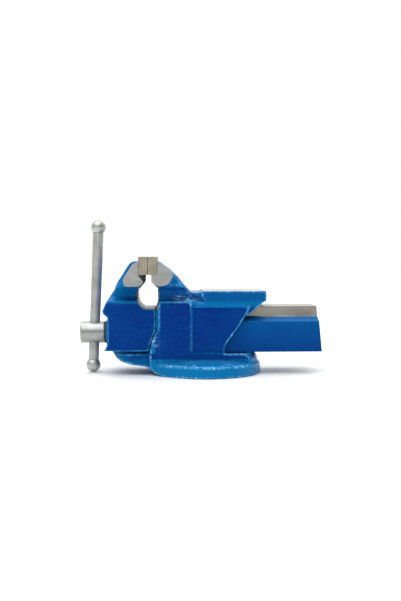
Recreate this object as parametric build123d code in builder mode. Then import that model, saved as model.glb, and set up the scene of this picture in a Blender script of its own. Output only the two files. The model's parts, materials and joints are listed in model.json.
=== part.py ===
from build123d import *
import os
from math import cos, radians, sin, sqrt

# Bench vise with a fixed round base, a box slide, a rear anvil and a loose tommy bar.
#
# Frame: the origin is the centre of the round base on its underside. +X runs along the
# screw from the handle to the anvil, +Y runs across the jaws and +Z is up. The vise is
# drawn closed. All sizes are in millimetres.

# ---- driving dimensions -------------------------------------------------------------

jaw_width = 100.0  # gripping width of the jaw plates
jaw_plate_height = 19.5
jaw_plate_thickness = 10.3
jaw_plate_top = 131.9
grip_plane = -66.0  # X where the two jaw plates meet
grip_gap = 0.1  # left between the closed plates
plate_screw_spacing = 56.0
plate_screw_radius = 3.0
plate_screw_length = 14.5
plate_screw_drop = 2.8  # below the middle of the plate

base_radius = 62.0
base_rim_height = 13.7
base_root_radius = 36.0  # where the coned top of the base meets the body
base_root_height = 16.6
base_relief_radius = 45.0  # shallow hollow under the base, so that it stands on its rim
base_relief_depth = 3.0
bolt_spacing_x = 40.0
bolt_spacing_y = 95.0
bolt_hole_radius = 5.5
bolt_seat_radius = 9.0  # flat milled round each bolt hole
bolt_seat_height = 13.8

screw_height = 46.0  # Z of the lead screw's axis
screw_radius = 9.0
screw_head_radius = 12.3
screw_head_length = 27.4
screw_end = 112.0

slide_top = 76.6
slide_bottom = 25.4
slide_half_width = 28.0  # painted lower sides
guide_half_width = 18.5  # machined upper sides
guide_foot = 65.0  # Z where the machined sides end in a sloping shoulder
shoulder_foot = 60.0
slide_inner_half_width = 19.0
slide_inner_top = 61.5
slide_end_top = 124.0  # the rear end leans back towards the top
slide_end_bottom = 129.0
slide_play = 0.4  # between the slide and its channel

body_front = -57.6
body_half_width = 36.5
body_rear_half_width = 35.0
body_step = -18.0  # X where the body narrows
body_top = 83.0
body_front_chamfer = 3.8
cheek_bevel_width = 2.2  # long bevel along the top of the cheeks, under the anvil
cheek_bevel_height = 6.0
floor_top = 24.6  # floor under the slide, front tongue and rear seat

anvil_front = -7.5
anvil_rear = 65.8
anvil_half_width = 33.0
anvil_bottom = 82.0
anvil_corner = 6.0  # bevel of the anvil's lower front corner
anvil_top = 94.0
bridge_front = -32.0  # the bridge joins the neck to the anvil
bridge_height = 92.5
bridge_half_width = 27.0

handle_radius = 5.9
handle_knob_radius = 8.2
handle_knob_spacing = 156.8  # between the centres of the two knobs
handle_lower_knob = 37.4  # from the screw's axis down to the lower knob's centre
handle_lean = 2.5  # degrees, as the bar leans in its loose hole
handle_x = -128.0
handle_hole_clearance = 0.7

# ---- derived places ------------------------------------------------------------------

plate_bottom = jaw_plate_top - jaw_plate_height
plate_middle = (jaw_plate_top + plate_bottom) / 2
fixed_seat = grip_plane + grip_gap / 2 + jaw_plate_thickness
moving_seat = grip_plane - grip_gap / 2 - jaw_plate_thickness
ground_side = jaw_width / 2  # the sides of both jaws are ground flush with the plates
neck_height = 92.0  # narrowest part of the necks under both jaws
fixed_lip = -62.2  # lips of the castings on both sides of the gap above the throat
moving_lip = -70.2
throat_front = -77.3  # the throat is the open space under the plates, right across the vise
throat_rear = -55.2
throat_floor = 74.4
throat_roof = 95.0
throat_corner = 11.0
clear = 300.0  # longer than anything that is cut away

jaw_front = -110.5  # flat front of the moving jaw
jaw_box_rear = -58.0
jaw_box_half_width = 35.5
jaw_box_bottom = 27.6
jaw_box_top = 82.3
boss_face = -114.2  # round boss that takes the thrust of the screw
boss_radius = 15.0
thrust_washer_thickness = 1.9
running_gap = 0.1
head_rear = boss_face - thrust_washer_thickness - running_gap
head_front = head_rear - screw_head_length
wall_rear = -96.0  # back of the moving jaw's front wall
bore_clearance = 0.25

spring_seat_thickness = 1.5
spring_seat_radius = 14.0
spring_length = 13.0
spring_radius = 11.9
spring_wire_radius = 1.2
spring_turns = 4
spring_front = wall_rear + spring_seat_thickness
spring_rear = spring_front + spring_length
pin_radius = 2.0
pin_x = spring_rear + spring_seat_thickness + pin_radius + 0.3

nut_front = -32.0
nut_rear = 12.0
nut_half_width = 14.0
nut_middle = (nut_front + nut_rear) / 2
nut_bolt_radius = 6.0
nut_bolt_top = 34.0
bolt_pocket_radius = 13.0
bolt_pocket_top = 11.0
lock_washer_thickness = 2.2
bolt_head_height = 7.0
dowel_radius = 3.0
dowel_offset = 16.0
dowel_bottom = 17.0
dowel_top = 31.0

handle_direction = Vector(sin(radians(handle_lean)), 0, cos(radians(handle_lean)))
handle_centre = Vector(handle_x, 0, screw_height)
knob_neck = sqrt(handle_knob_radius**2 - handle_radius**2)
spigot_radius = 4.0
spigot_length = 8.0


def slide_section(growth, foot):
    """Outline of the slide seen along X, grown all round, with its legs down to foot."""
    lower = slide_half_width + growth
    upper = guide_half_width + growth
    half_outline = [
        (lower, foot),
        (lower, shoulder_foot + growth),
        (upper, guide_foot + growth),
        (upper, slide_top + growth),
    ]
    mirrored = [(-y, z) for y, z in reversed(half_outline)]
    with BuildSketch(Plane.YZ) as outline:
        Polygon(*half_outline, *mirrored, align=None)
    return outline.sketch


def loft_slices(slices):
    """Cast jaw lofted through rounded rectangles: height, front X, rear X, half width, corner."""
    with BuildPart() as casting:
        for height, x_front, x_rear, half_width, corner in slices:
            with BuildSketch(Plane.XY.offset(height)):
                with Locations(((x_front + x_rear) / 2, 0)):
                    RectangleRounded(x_rear - x_front, 2 * half_width, corner)
        loft()
    return casting.part


def block(x_low, x_high, half_width, z_low, z_high, mode=Mode.ADD):
    """Plain block, symmetric across the vise."""
    with Locations(((x_low + x_high) / 2, 0, (z_low + z_high) / 2)):
        Box(x_high - x_low, 2 * half_width, z_high - z_low, mode=mode)


def grind_jaw_sides():
    """Cut both sides of a jaw flat at the width of the jaw plates."""
    for side in (-1, 1):
        with Locations((grip_plane, side * ground_side, neck_height)):
            outward = Align.MIN if side > 0 else Align.MAX
            Box(clear, clear, clear, align=(Align.CENTER, outward, Align.MIN), mode=Mode.SUBTRACT)


def cut_throat():
    """Open the throat between the two castings, from the slide up to the plates."""
    with BuildSketch(Plane.XZ) as throat:
        Polygon((moving_lip, plate_bottom + 1), (moving_lip, 103.0), (throat_front, throat_roof - 1.5),
                (throat_front, throat_floor), (body_front - 1.0, throat_floor), (throat_rear, 81.0),
                (throat_rear, throat_roof + 2), (fixed_lip, 105.0), (fixed_lip, plate_bottom + 1), align=None)
        front_corners = throat.vertices().group_by(Axis.X)[0]
        fillet(front_corners.sort_by(Axis.Y)[0], throat_corner)
    extrude(throat.sketch, amount=clear, both=True, mode=Mode.SUBTRACT)


def plate_screw_places(seat):
    """The two screws of a jaw plate, on the plate's seat."""
    half = plate_screw_spacing / 2
    height = plate_middle - plate_screw_drop
    return [(seat, -half, height), (seat, half, height)]


# ---- fixed body: base, channel, neck, fixed jaw, anvil, front tongue and rear seat ---

fixed_jaw_slices = [
    (80.0, -56.6, -12.0, 35.5, 5.0),
    (85.5, -55.9, -14.5, 32.5, 5.0),
    (90.0, -55.9, -17.4, 31.8, 5.0),
    (95.5, -56.4, -20.8, 34.0, 5.0),
    (99.0, -58.2, -24.3, 46.0, 7.0),
    (104.0, -62.2, -28.0, 51.6, 8.0),
    (111.0, -62.8, -34.2, 52.4, 9.0),
    (118.0, -62.8, -42.4, 52.0, 8.0),
    (123.8, -62.8, -50.2, 50.8, 4.8),
    (127.0, -62.8, -53.8, 47.5, 3.4),
]

# Rear edge of the body, from the base up to the underside of the anvil.
rear_edge = [(24.5, base_rim_height), (20.2, 34.0), (27.0, 44.0), (38.0, 60.0), (49.0, anvil_bottom)]

# Underside of the front tongue, from its tip back to the base.
tongue_underside = [(-106.5, floor_top), (-100.0, 17.4), (-90.0, 13.2), (-76.0, 10.9), (-65.5, 9.0)]
tongue_half_width = 31.0
tongue_tip_radius = 22.0
tongue_root = [(-58.5, 2.6), (-48.0, 0.0), (-30.0, 0.0), (-30.0, floor_top)]
flare_front = (-70.0, 29.0)  # in plan, the tongue widens from here to meet the base's rim tangentially
flare_rear = (-33.3, 52.2)

# Gusset that joins the tongue to each cheek of the body.
gusset_tip = -64.5
gusset_top = 49.0
gusset_bulge = (-62.3, 36.8)

# The base rises behind the body into a round seat under the slide.
seat_edge_radius = 54.0
seat_foot_radius = 59.0

with BuildSketch(Plane.XZ) as tongue_profile:
    with BuildLine():
        underside = Spline(*tongue_underside)
        Polyline(underside @ 1, *tongue_root, underside @ 0)
    make_face()

with BuildPart() as front_tongue:
    extrude(tongue_profile.sketch, amount=tongue_half_width, both=True)
    with BuildSketch():
        with Locations((tongue_underside[0][0], 0)):
            RectangleRounded(2 * 70.0, 2 * tongue_half_width, tongue_tip_radius, align=(Align.MIN, Align.CENTER))
    extrude(amount=floor_top, mode=Mode.INTERSECT)

with BuildPart() as tongue_flare:
    extrude(tongue_profile.sketch, amount=flare_rear[1], both=True)
    with BuildSketch():
        Polygon(flare_front, flare_rear, (flare_rear[0], -flare_rear[1]), (flare_front[0], -flare_front[1]),
                align=None)
    extrude(amount=base_rim_height, mode=Mode.INTERSECT)
    chamfer(tongue_flare.edges().group_by(Axis.Z)[-1].filter_by(Axis.Y, reverse=True), 2.0)

with BuildPart() as rear_seat:
    with BuildSketch(Plane.XZ):
        with BuildLine():
            Line((0, base_rim_height - 1), (seat_foot_radius, base_rim_height - 1))
            RadiusArc((seat_foot_radius, base_rim_height - 1), (seat_edge_radius, floor_top), -12.0)
            Polyline((seat_edge_radius, floor_top), (0, floor_top), (0, base_rim_height - 1))
        make_face()
    revolve(axis=Axis.Z)
    block(body_front + 1, base_radius, body_half_width - 0.5, 0, floor_top, mode=Mode.INTERSECT)

with BuildPart() as gussets:
    with BuildSketch(Plane.XZ):
        with BuildLine():
            ThreePointArc((body_front, gusset_top), gusset_bulge, (gusset_tip, floor_top))
            Polyline((gusset_tip, floor_top), (gusset_tip, 9.0), tongue_root[0],
                     (body_front + 6, tongue_root[0][1]), (body_front + 6, gusset_top), (body_front, gusset_top))
        make_face()
    extrude(amount=body_half_width - 1.0, both=True)

# Rear half of the cheeks, with a long bevel along the top.
with BuildPart() as rear_cheeks:
    with BuildSketch(Plane.XZ):
        with BuildLine():
            back = Spline(*rear_edge)
            Polyline(back @ 1, (body_step - 2, anvil_bottom), (body_step - 2, base_rim_height), back @ 0)
        make_face()
    extrude(amount=body_rear_half_width, both=True)
    bevel_foot = (body_rear_half_width, anvil_bottom - cheek_bevel_height)
    bevel_top = (body_rear_half_width - cheek_bevel_width, anvil_bottom)
    with BuildSketch(Plane.YZ):
        Polygon((body_rear_half_width, 0), bevel_foot, bevel_top, (-bevel_top[0], bevel_top[1]),
                (-bevel_foot[0], bevel_foot[1]), (-body_rear_half_width, 0), align=None)
    extrude(amount=clear, both=True, mode=Mode.INTERSECT)

fixed_jaw = loft_slices(fixed_jaw_slices)

with BuildPart() as fixed_body:
    with BuildSketch(Plane.XZ):
        with BuildLine():
            Polyline((0, 0), (base_radius - 1, 0), (base_radius, 1), (base_radius, base_rim_height - 2),
                     (base_radius - 2, base_rim_height), (base_root_radius, base_root_height),
                     (0, base_root_height), (0, 0))
        make_face()
    revolve(axis=Axis.Z)
    add(front_tongue.part)
    add(tongue_flare.part)
    add(rear_seat.part)
    add(gussets.part)

    # Front half of the cheeks on both sides of the channel, a little wider than the rear half.
    with BuildSketch(Plane.XY.offset(base_rim_height - 1)):
        with Locations((body_front, 0)):
            front_half = Rectangle(body_step - body_front, 2 * body_half_width, align=(Align.MIN, Align.CENTER))
        chamfer(front_half.vertices().group_by(Axis.X)[0], body_front_chamfer)
    extrude(amount=body_top - base_rim_height + 1)
    add(rear_cheeks.part)

    # Anvil, with its tail that tapers into the body, and the bridge that joins it to the neck.
    with BuildSketch(Plane.XZ):
        Polygon((anvil_front + anvil_corner, anvil_bottom - 1), (anvil_front, anvil_bottom - 1 + anvil_corner),
                (anvil_front, anvil_top - 2.5), (anvil_front + 2.5, anvil_top),
                (anvil_rear, anvil_top), (anvil_rear, anvil_bottom + 1), (anvil_rear - 3, anvil_bottom),
                (46.0, 68.0), (anvil_front + anvil_corner, 68.0), align=None)
    extrude(amount=anvil_half_width, both=True)
    block(bridge_front, anvil_front + 6, bridge_half_width, body_top - 6, bridge_height)
    add(fixed_jaw)
    grind_jaw_sides()
    cut_throat()

    # Seat of the jaw plate.
    block(fixed_seat - clear, fixed_seat, ground_side + 5, plate_bottom, clear, mode=Mode.SUBTRACT)

    # Channel for the slide, deeper along the middle where the nut stands.
    add(extrude(slide_section(slide_play, slide_bottom - slide_play), amount=clear, both=True, mode=Mode.PRIVATE),
        mode=Mode.SUBTRACT)
    block(-clear, clear, slide_inner_half_width, floor_top, slide_bottom, mode=Mode.SUBTRACT)

    # Holes: base bolts, plate screws, nut bolt and nut dowels; hollow under the base.
    with Locations((0, 0, 0)):
        Cylinder(base_relief_radius, base_relief_depth, align=(Align.CENTER, Align.CENTER, Align.MIN),
                 mode=Mode.SUBTRACT)
    with BuildSketch():
        with GridLocations(bolt_spacing_x, bolt_spacing_y, 2, 2):
            Circle(bolt_hole_radius)
    extrude(amount=base_root_height, mode=Mode.SUBTRACT)
    with BuildSketch(Plane.XY.offset(bolt_seat_height)):
        with GridLocations(bolt_spacing_x, bolt_spacing_y, 2, 2):
            Circle(bolt_seat_radius)
    extrude(amount=base_root_height - bolt_seat_height, mode=Mode.SUBTRACT)
    with Locations((nut_middle, 0, 0)):
        Cylinder(bolt_pocket_radius, bolt_pocket_top, align=(Align.CENTER, Align.CENTER, Align.MIN),
                 mode=Mode.SUBTRACT)
        Cylinder(nut_bolt_radius + bore_clearance, floor_top, align=(Align.CENTER, Align.CENTER, Align.MIN),
                 mode=Mode.SUBTRACT)
    with Locations((nut_middle - dowel_offset, 0, dowel_bottom), (nut_middle + dowel_offset, 0, dowel_bottom)):
        Cylinder(dowel_radius, floor_top, align=(Align.CENTER, Align.CENTER, Align.MIN), mode=Mode.SUBTRACT)
    with Locations(*[Location(place, (0, 90, 0)) for place in plate_screw_places(fixed_seat)]):
        Cylinder(plate_screw_radius + 0.05, plate_screw_length - jaw_plate_thickness + 1,
                 align=(Align.CENTER, Align.CENTER, Align.MIN), mode=Mode.SUBTRACT)

fixed_body.part.label = "fixed_body"

# ---- moving jaw: jaw, box, screw boss and the hollow slide ---------------------------

moving_jaw_slices = [
    (80.0, -112.3, -72.0, 35.0, 5.0),
    (85.5, -110.3, -76.4, 30.5, 5.0),
    (90.0, -107.5, -76.8, 28.0, 5.0),
    (95.5, -104.0, -76.0, 33.5, 5.0),
    (99.0, -102.0, -73.4, 46.5, 6.0),
    (104.0, -99.4, -70.0, 51.6, 8.0),
    (111.0, -95.0, -69.6, 52.4, 9.0),
    (118.0, -90.6, -69.6, 52.0, 8.0),
    (123.8, -86.4, -69.6, 50.8, 4.8),
    (127.0, -83.0, -69.6, 47.5, 3.4),
]

moving_jaw_top = loft_slices(moving_jaw_slices)

with BuildPart() as moving_jaw:
    # Box below the jaw, with its rear lower corners cut back round the gussets.
    with BuildSketch(Plane.XZ):
        with BuildLine():
            corner = ThreePointArc((jaw_box_rear, gusset_top + 1.8), (gusset_bulge[0] - 1.0, gusset_bulge[1] + 0.7),
                                   (gusset_tip - 1.3, jaw_box_bottom))
            front_foot = [(jaw_front - 5.2, jaw_box_bottom), (jaw_front, jaw_box_bottom + 8)]
            front_lip = [(jaw_front, 62.5), (jaw_front - 1.4, 66.0), (jaw_front - 4.8, 68.5),
                         (jaw_front - 6.2, 71.0), (jaw_front - 5.4, 74.0), (jaw_front - 2.0, jaw_box_top)]
            Polyline(corner @ 1, *front_foot, *front_lip, (jaw_box_rear, jaw_box_top), corner @ 0)
        make_face()
    extrude(amount=jaw_box_half_width, both=True)
    add(moving_jaw_top)
    grind_jaw_sides()
    block(moving_seat, moving_seat + clear, ground_side + 5, plate_bottom, clear, mode=Mode.SUBTRACT)
    with Locations(Location((jaw_front + 2, 0, screw_height), (0, -90, 0))):
        Cone(boss_radius + 1.5, boss_radius, jaw_front + 2 - boss_face, align=(Align.CENTER, Align.CENTER, Align.MIN))

    # The slide, cut to a leaning rear end and hollowed from below.
    with BuildSketch(Plane.XZ):
        Polygon((jaw_front + 5, slide_bottom), (slide_end_bottom, slide_bottom), (slide_end_top, slide_top),
                (jaw_front + 5, slide_top), align=None)
    slide_side = extrude(amount=slide_half_width + 5, both=True, mode=Mode.PRIVATE)
    slide_bar = extrude(slide_section(0, slide_bottom), amount=clear, both=True, mode=Mode.PRIVATE)
    add(slide_bar.intersect(slide_side))
    cut_throat()
    block(wall_rear, clear, slide_inner_half_width, 0, slide_inner_top, mode=Mode.SUBTRACT)
    with Locations(Location((wall_rear, 0, screw_height), (0, -90, 0))):
        Cylinder(screw_radius + bore_clearance, clear, align=(Align.CENTER, Align.CENTER, Align.MIN),
                 mode=Mode.SUBTRACT)
    with Locations(*[Location(place, (0, -90, 0)) for place in plate_screw_places(moving_seat)]):
        Cylinder(plate_screw_radius + 0.05, plate_screw_length - jaw_plate_thickness + 1,
                 align=(Align.CENTER, Align.CENTER, Align.MIN), mode=Mode.SUBTRACT)

moving_jaw.part.label = "moving_jaw"

# ---- jaw plates and their screws -----------------------------------------------------


def make_jaw_plate(x_low, face_direction):
    """Jaw plate with two countersunk holes that open on its gripping face."""
    with BuildPart() as plate:
        with Locations((x_low + jaw_plate_thickness / 2, 0, plate_middle)):
            Box(jaw_plate_thickness, jaw_width, jaw_plate_height)
        chamfer(plate.edges().filter_by(Axis.Y), 0.5)
        face = x_low + jaw_plate_thickness if face_direction > 0 else x_low
        places = [Location(place, (0, 90 * face_direction, 0)) for place in plate_screw_places(face)]
        with Locations(*places):
            CounterSinkHole(plate_screw_radius + bore_clearance, 2 * plate_screw_radius + 0.1,
                            jaw_plate_thickness, counter_sink_angle=90)
    return plate.part


def make_plate_screws(face, face_direction):
    """Two slotted countersunk screws, their heads just under the gripping face."""
    head_radius = 2 * plate_screw_radius - 0.4
    with BuildPart() as screws:
        places = [Location(place, (0, 90 * face_direction, 0)) for place in plate_screw_places(face)]
        with Locations(*places):
            with Locations((0, 0, -0.5)):
                Cone(plate_screw_radius, head_radius, head_radius - plate_screw_radius,
                     align=(Align.CENTER, Align.CENTER, Align.MAX))
                Cylinder(plate_screw_radius, plate_screw_length, align=(Align.CENTER, Align.CENTER, Align.MAX))
                Box(2 * head_radius, 1.6, 2 * 1.8, mode=Mode.SUBTRACT)
    return screws.part


fixed_jaw_plate = make_jaw_plate(fixed_seat - jaw_plate_thickness, -1)
fixed_jaw_plate.label = "fixed_jaw_plate"
moving_jaw_plate = make_jaw_plate(moving_seat, 1)
moving_jaw_plate.label = "moving_jaw_plate"
fixed_jaw_screws = make_plate_screws(fixed_seat - jaw_plate_thickness, -1)
fixed_jaw_screws.label = "fixed_jaw_screws"
moving_jaw_screws = make_plate_screws(moving_seat + jaw_plate_thickness, 1)
moving_jaw_screws.label = "moving_jaw_screws"

# ---- nut and its fixings -------------------------------------------------------------

with BuildPart() as spindle_nut:
    block(nut_front, nut_rear, nut_half_width, floor_top, screw_height)
    with Locations(Location((nut_front, 0, screw_height), (0, 90, 0))):
        Cylinder(nut_half_width, nut_rear - nut_front, align=(Align.CENTER, Align.CENTER, Align.MIN))
        Cylinder(screw_radius + 0.05, nut_rear - nut_front, align=(Align.CENTER, Align.CENTER, Align.MIN),
                 mode=Mode.SUBTRACT)
    with Locations((nut_middle, 0, floor_top)):
        Cylinder(nut_bolt_radius, nut_bolt_top - floor_top, align=(Align.CENTER, Align.CENTER, Align.MIN),
                 mode=Mode.SUBTRACT)
    with Locations((nut_middle - dowel_offset, 0, floor_top), (nut_middle + dowel_offset, 0, floor_top)):
        Cylinder(dowel_radius, dowel_top - floor_top, align=(Align.CENTER, Align.CENTER, Align.MIN),
                 mode=Mode.SUBTRACT)
spindle_nut.part.label = "spindle_nut"

bolt_head_top = bolt_pocket_top - lock_washer_thickness

with BuildPart() as nut_bolt:
    with BuildSketch(Plane.XY.offset(bolt_head_top - bolt_head_height)):
        with Locations((nut_middle, 0)):
            RegularPolygon(9.0, 6, major_radius=False)
    extrude(amount=bolt_head_height)
    with Locations((nut_middle, 0, bolt_head_top)):
        Cylinder(nut_bolt_radius, nut_bolt_top - bolt_head_top, align=(Align.CENTER, Align.CENTER, Align.MIN))
nut_bolt.part.label = "nut_bolt"

with BuildPart() as nut_lock_washer:
    with BuildSketch(Plane.XY.offset(bolt_head_top)):
        with Locations((nut_middle, 0)):
            Circle(9.8)
            Circle(nut_bolt_radius + 0.15, mode=Mode.SUBTRACT)
        with Locations((nut_middle + 8.0, 0)):
            Rectangle(5.0, 0.8, mode=Mode.SUBTRACT)
    extrude(amount=lock_washer_thickness)
nut_lock_washer.part.label = "nut_lock_washer"

with BuildPart() as nut_dowels:
    with Locations((nut_middle - dowel_offset, 0, dowel_bottom), (nut_middle + dowel_offset, 0, dowel_bottom)):
        Cylinder(dowel_radius, dowel_top - dowel_bottom, align=(Align.CENTER, Align.CENTER, Align.MIN))
nut_dowels.part.label = "nut_dowels"

# ---- spindle, thrust washer and the spring that keeps its head against the boss ------

with BuildPart() as spindle:
    with Locations(Location((head_front, 0, screw_height), (0, 90, 0))):
        Cylinder(screw_head_radius, screw_head_length, align=(Align.CENTER, Align.CENTER, Align.MIN))
    chamfer(spindle.edges().filter_by(GeomType.CIRCLE), 1.2)
    with Locations(Location((head_rear - 1, 0, screw_height), (0, 90, 0))):
        Cylinder(screw_radius, screw_end - head_rear + 1, align=(Align.CENTER, Align.CENTER, Align.MIN))
    chamfer(spindle.edges().filter_by(GeomType.CIRCLE).sort_by(Axis.X)[-1], 1.5)
    with Locations(Location(tuple(handle_centre), (0, handle_lean, 0))):
        Cylinder(handle_radius + handle_hole_clearance, 4 * screw_head_radius, mode=Mode.SUBTRACT)
    with Locations(Location((pin_x, 0, screw_height), (90, 0, 0))):
        Cylinder(pin_radius, 4 * screw_radius, mode=Mode.SUBTRACT)
spindle.part.label = "spindle"


def make_ring(x_low, thickness, inner_radius, outer_radius):
    """Flat washer on the screw's axis."""
    with BuildPart() as ring:
        with Locations(Location((x_low, 0, screw_height), (0, 90, 0))):
            Cylinder(outer_radius, thickness, align=(Align.CENTER, Align.CENTER, Align.MIN))
            Cylinder(inner_radius, thickness, align=(Align.CENTER, Align.CENTER, Align.MIN), mode=Mode.SUBTRACT)
    return ring.part


thrust_washer = make_ring(boss_face - thrust_washer_thickness, thrust_washer_thickness, screw_radius + 0.3, 12.6)
thrust_washer.label = "thrust_washer"
front_spring_seat = make_ring(wall_rear, spring_seat_thickness, screw_radius + 0.4, spring_seat_radius)
front_spring_seat.label = "front_spring_seat"
rear_spring_seat = make_ring(spring_rear, spring_seat_thickness, screw_radius + 0.4, spring_seat_radius)
rear_spring_seat.label = "rear_spring_seat"

with BuildPart() as return_spring:
    coil_length = spring_length - 2 * spring_wire_radius
    with BuildLine():
        coil = Helix(coil_length / spring_turns, coil_length, spring_radius,
                     center=(spring_front + spring_wire_radius, 0, screw_height), direction=(1, 0, 0))
    with BuildSketch(Plane(coil @ 0, z_dir=coil % 0)):
        Circle(spring_wire_radius)
    sweep(is_frenet=True)
return_spring.part.label = "return_spring"

with BuildPart() as split_pin:
    pin_length = 21.0
    with Locations(Location((pin_x, 0, screw_height), (90, 0, 0))):
        Cylinder(pin_radius - 0.05, pin_length)
    with Locations(Location((pin_x, pin_length / 2 + 1.4, screw_height), (0, 90, 0))):
        Torus(1.6, 1.0)
split_pin.part.label = "split_pin"

# ---- tommy bar with its two knobs ----------------------------------------------------

handle_bottom = handle_centre - handle_direction * handle_lower_knob
handle_top = handle_bottom + handle_direction * handle_knob_spacing
rod_length = handle_knob_spacing - 2 * knob_neck

with BuildPart() as handle_rod:
    with Locations(Location(tuple(handle_bottom + handle_direction * knob_neck), (0, handle_lean, 0))):
        Cylinder(handle_radius, rod_length, align=(Align.CENTER, Align.CENTER, Align.MIN))
        with Locations((0, 0, -spigot_length)):
            Cylinder(spigot_radius, rod_length + 2 * spigot_length, align=(Align.CENTER, Align.CENTER, Align.MIN))
handle_rod.part.label = "handle_rod"


def make_knob(centre, turn):
    """Ball knob with a flat and a blind hole towards the rod."""
    with BuildPart() as knob:
        with Locations(Location(tuple(centre), (0, handle_lean + turn, 0))):
            Sphere(handle_knob_radius)
            with Locations((0, 0, knob_neck)):
                Box(clear, clear, clear, align=(Align.CENTER, Align.CENTER, Align.MIN), mode=Mode.SUBTRACT)
                Cylinder(spigot_radius, spigot_length, align=(Align.CENTER, Align.CENTER, Align.MAX),
                         mode=Mode.SUBTRACT)
    return knob.part


lower_knob = make_knob(handle_bottom, 0)
lower_knob.label = "lower_knob"
upper_knob = make_knob(handle_top, 180)
upper_knob.label = "upper_knob"

# ---- write every piece ---------------------------------------------------------------

pieces = [
    fixed_body.part,
    fixed_jaw_plate,
    fixed_jaw_screws,
    spindle_nut.part,
    nut_bolt.part,
    nut_lock_washer.part,
    nut_dowels.part,
    moving_jaw.part,
    moving_jaw_plate,
    moving_jaw_screws,
    spindle.part,
    thrust_washer,
    front_spring_seat,
    return_spring.part,
    rear_spring_seat,
    split_pin.part,
    handle_rod.part,
    upper_knob,
    lower_knob,
]

os.makedirs("parts", exist_ok=True)
for piece in pieces:
    export_step(piece, f"parts/{piece.label}.step")
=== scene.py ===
import json
from math import acos, cos, pi, radians, sin, sqrt, tan

import bmesh
import bpy
import numpy as np
from mathutils import Matrix, Vector, noise


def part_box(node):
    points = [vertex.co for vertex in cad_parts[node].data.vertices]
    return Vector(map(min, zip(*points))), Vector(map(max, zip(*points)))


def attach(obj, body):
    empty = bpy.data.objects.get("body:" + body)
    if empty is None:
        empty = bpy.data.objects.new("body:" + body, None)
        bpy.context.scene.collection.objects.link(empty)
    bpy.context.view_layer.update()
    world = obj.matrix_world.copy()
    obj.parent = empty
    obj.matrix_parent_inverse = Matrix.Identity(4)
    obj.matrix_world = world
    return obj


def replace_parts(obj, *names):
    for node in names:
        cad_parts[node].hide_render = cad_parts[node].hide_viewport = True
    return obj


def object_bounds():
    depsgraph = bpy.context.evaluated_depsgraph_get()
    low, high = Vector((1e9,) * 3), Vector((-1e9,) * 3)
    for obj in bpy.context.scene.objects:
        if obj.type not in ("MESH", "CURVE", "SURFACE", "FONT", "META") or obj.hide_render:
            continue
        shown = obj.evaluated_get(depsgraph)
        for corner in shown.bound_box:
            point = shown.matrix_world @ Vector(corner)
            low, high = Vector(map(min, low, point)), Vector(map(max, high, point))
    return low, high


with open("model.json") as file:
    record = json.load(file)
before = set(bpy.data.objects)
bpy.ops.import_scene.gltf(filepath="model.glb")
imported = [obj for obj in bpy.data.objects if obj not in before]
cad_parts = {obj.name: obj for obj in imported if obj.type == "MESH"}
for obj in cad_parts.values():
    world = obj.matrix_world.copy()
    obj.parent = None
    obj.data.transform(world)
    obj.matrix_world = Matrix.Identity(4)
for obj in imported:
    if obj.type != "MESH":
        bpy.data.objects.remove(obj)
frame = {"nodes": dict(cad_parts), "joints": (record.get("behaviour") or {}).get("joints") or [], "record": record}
cad_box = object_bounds()

# The visual model of the bench vise, in metres: +X runs along the screw from the handle to
# the anvil, +Y across the jaws and +Z up. Each piece takes the place of a CAD node.
MM = 0.001

# ---- places taken from the frame -------------------------------------------------------

JAW_LOW, JAW_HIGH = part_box("moving_jaw")
FIXED_PLATE_LOW, FIXED_PLATE_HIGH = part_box("fixed_jaw_plate")
MOVING_PLATE_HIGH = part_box("moving_jaw_plate")[1]
SPINDLE_LOW, SPINDLE_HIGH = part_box("spindle")
WASHER_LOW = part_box("thrust_washer")[0]
ROD_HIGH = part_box("handle_rod")[1]
UPPER_KNOB_LOW, UPPER_KNOB_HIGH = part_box("upper_knob")
LOWER_KNOB_LOW, LOWER_KNOB_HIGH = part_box("lower_knob")
JOINTS = {joint["name"]: joint for joint in frame["joints"]}
MOUNTS = {mount["name"]: mount for mount in frame["record"]["mounts"]}

ANVIL_TOP = MOUNTS["anvil_top"]["pos_m"][2]
BOLT_HALF_X = MOUNTS["base_bolts"]["dims"]["spacing_x_mm"] / 2 * MM
BOLT_HALF_Y = MOUNTS["base_bolts"]["dims"]["spacing_y_mm"] / 2 * MM
GRIND_SIDE = FIXED_PLATE_HIGH.y  # the sides of the jaws are ground flush with the plates
GRIP_PLANE = (MOVING_PLATE_HIGH.x + FIXED_PLATE_LOW.x) / 2
PLATE_BOTTOM = FIXED_PLATE_LOW.z
NECK_HEIGHT = PLATE_BOTTOM - 18 * MM  # below the jaws, where both castings are narrow
AXIS_HEIGHT = (SPINDLE_LOW.z + SPINDLE_HIGH.z) / 2
HANDLE_X = JOINTS["spindle_turn"]["pos_m"][0]
HANDLE_AXIS = Vector(JOINTS["handle_slide"]["axis"]).normalized()
SLIDE_BOTTOM = JAW_LOW.z

# ---- other places and sizes of the castings and the screw --------------------------------

BOX_REAR = GRIP_PLANE + 8.0 * MM  # rear face of the moving jaw's box
BOX_HALF_WIDTH = 35.5 * MM
BODY_FRONT = BOX_REAR + 0.4 * MM
BODY_STEP = -18.0 * MM  # where the body narrows towards the rear
BODY_SIDE = 32.0 * MM  # all that lies further out is a broad side
BODY_TOP = 81.0 * MM  # where the broad sides end
ANVIL_FRONT = -7.5 * MM
SLIDE_TOP = 76.6 * MM
SLIDE_LEAN = 5.0 * MM  # how far the rear end of the slide leans back
SHAFT = 9.0 * MM  # radius of the screw
SHAFT_HOLE = SHAFT + 0.3 * MM  # radius of the holes in the washers
PAINTED, GROUND, SHADED_RAW = range(3)  # material slots of the castings
JOIN = 1e-6  # points of a mesh that lie closer than this become one
CUT = 1e-7  # points this close to a cutting plane lie on it, and shorter edges are dissolved

# ---- mesh helpers ------------------------------------------------------------------------


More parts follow.
